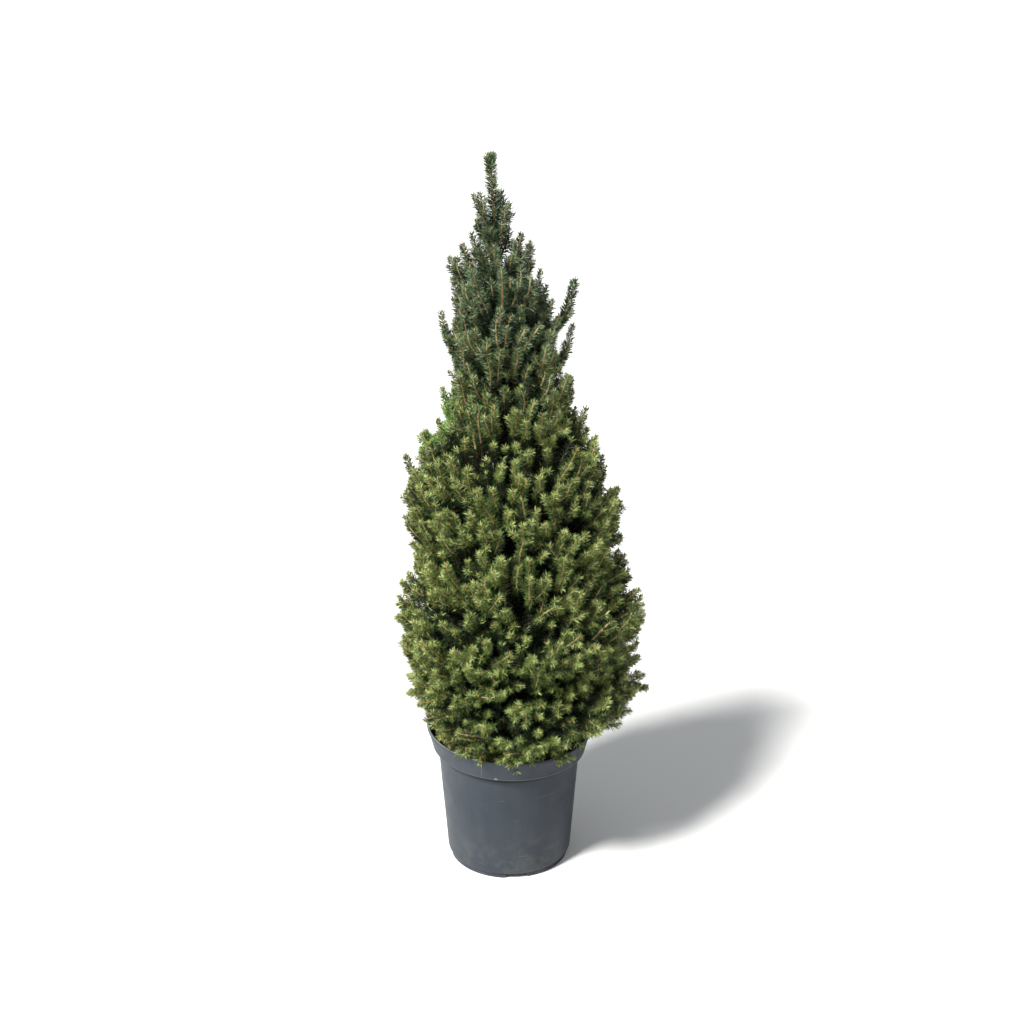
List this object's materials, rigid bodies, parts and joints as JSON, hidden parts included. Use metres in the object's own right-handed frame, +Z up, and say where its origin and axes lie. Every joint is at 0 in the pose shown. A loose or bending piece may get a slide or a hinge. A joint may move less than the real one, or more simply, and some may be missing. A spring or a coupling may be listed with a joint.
{
  "type": "potted dwarf alberta spruce",
  "caption": "Dense, narrow cone of a dwarf spruce with short needles on upright shoots, growing in a round dark grey nursery pot.",
  "frame": {"origin": "centre of the flat pad in the middle of the pot's underside, on the surface it stands on", "axes": "+Z up along the pot's axis, -Y towards the side that faces the viewer, +X to the viewer's right"},
  "size_m": [0.3738, 0.377, 1.106],
  "materials": {
    "pot": "matt slate grey moulded plastic, dusty, lightly scuffed",
    "potting_mix": "dark peat and bark mix",
    "bark": "thin scaly brown bark, orange-tan on young twigs",
    "needles": "mid green to yellow-green needles",
    "blue_needles": "dark blue-green needles"
  },
  "bodies": {
    "root": {"pot": "pot", "root_ball": "potting_mix", "trunk": "bark", "bough_lower_1": "bark", "bough_lower_2": "bark", "bough_lower_3": "bark", "bough_lower_4": "bark", "bough_lower_5": "bark", "bough_lower_6": "bark", "bough_skirt_1": "bark", "bough_skirt_2": "bark", "bough_skirt_3": "bark", "bough_skirt_4": "bark", "bough_skirt_5": "bark", "bough_skirt_6": "bark", "bough_skirt_7": "bark", "bough_right_plume": "bark", "bough_stray_shoot": "bark", "crest_1": "blue_needles", "crest_2": "blue_needles", "crest_3": "blue_needles", "crest_4": "blue_needles", "upper_1": "blue_needles", "upper_2": "blue_needles", "upper_3": "blue_needles", "upper_4": "blue_needles", "shoulder_1": "needles", "shoulder_2": "needles", "shoulder_3": "needles", "shoulder_4": "needles", "shoulder_5": "needles", "mid_1": "needles", "mid_2": "needles", "mid_3": "needles", "mid_4": "needles", "mid_5": "needles", "belly_1": "needles", "belly_2": "needles", "belly_3": "needles", "belly_4": "needles", "belly_5": "needles", "belly_6": "needles", "lower_1": "needles", "lower_2": "needles", "lower_3": "needles", "lower_4": "needles", "lower_5": "needles", "lower_6": "needles", "skirt_1": "needles", "skirt_2": "needles", "skirt_3": "needles", "skirt_4": "needles", "skirt_5": "needles", "skirt_6": "needles", "skirt_7": "needles", "leader": "blue_needles", "right_plume": "blue_needles", "stray_shoot": "needles"}
  },
  "joints": []
}
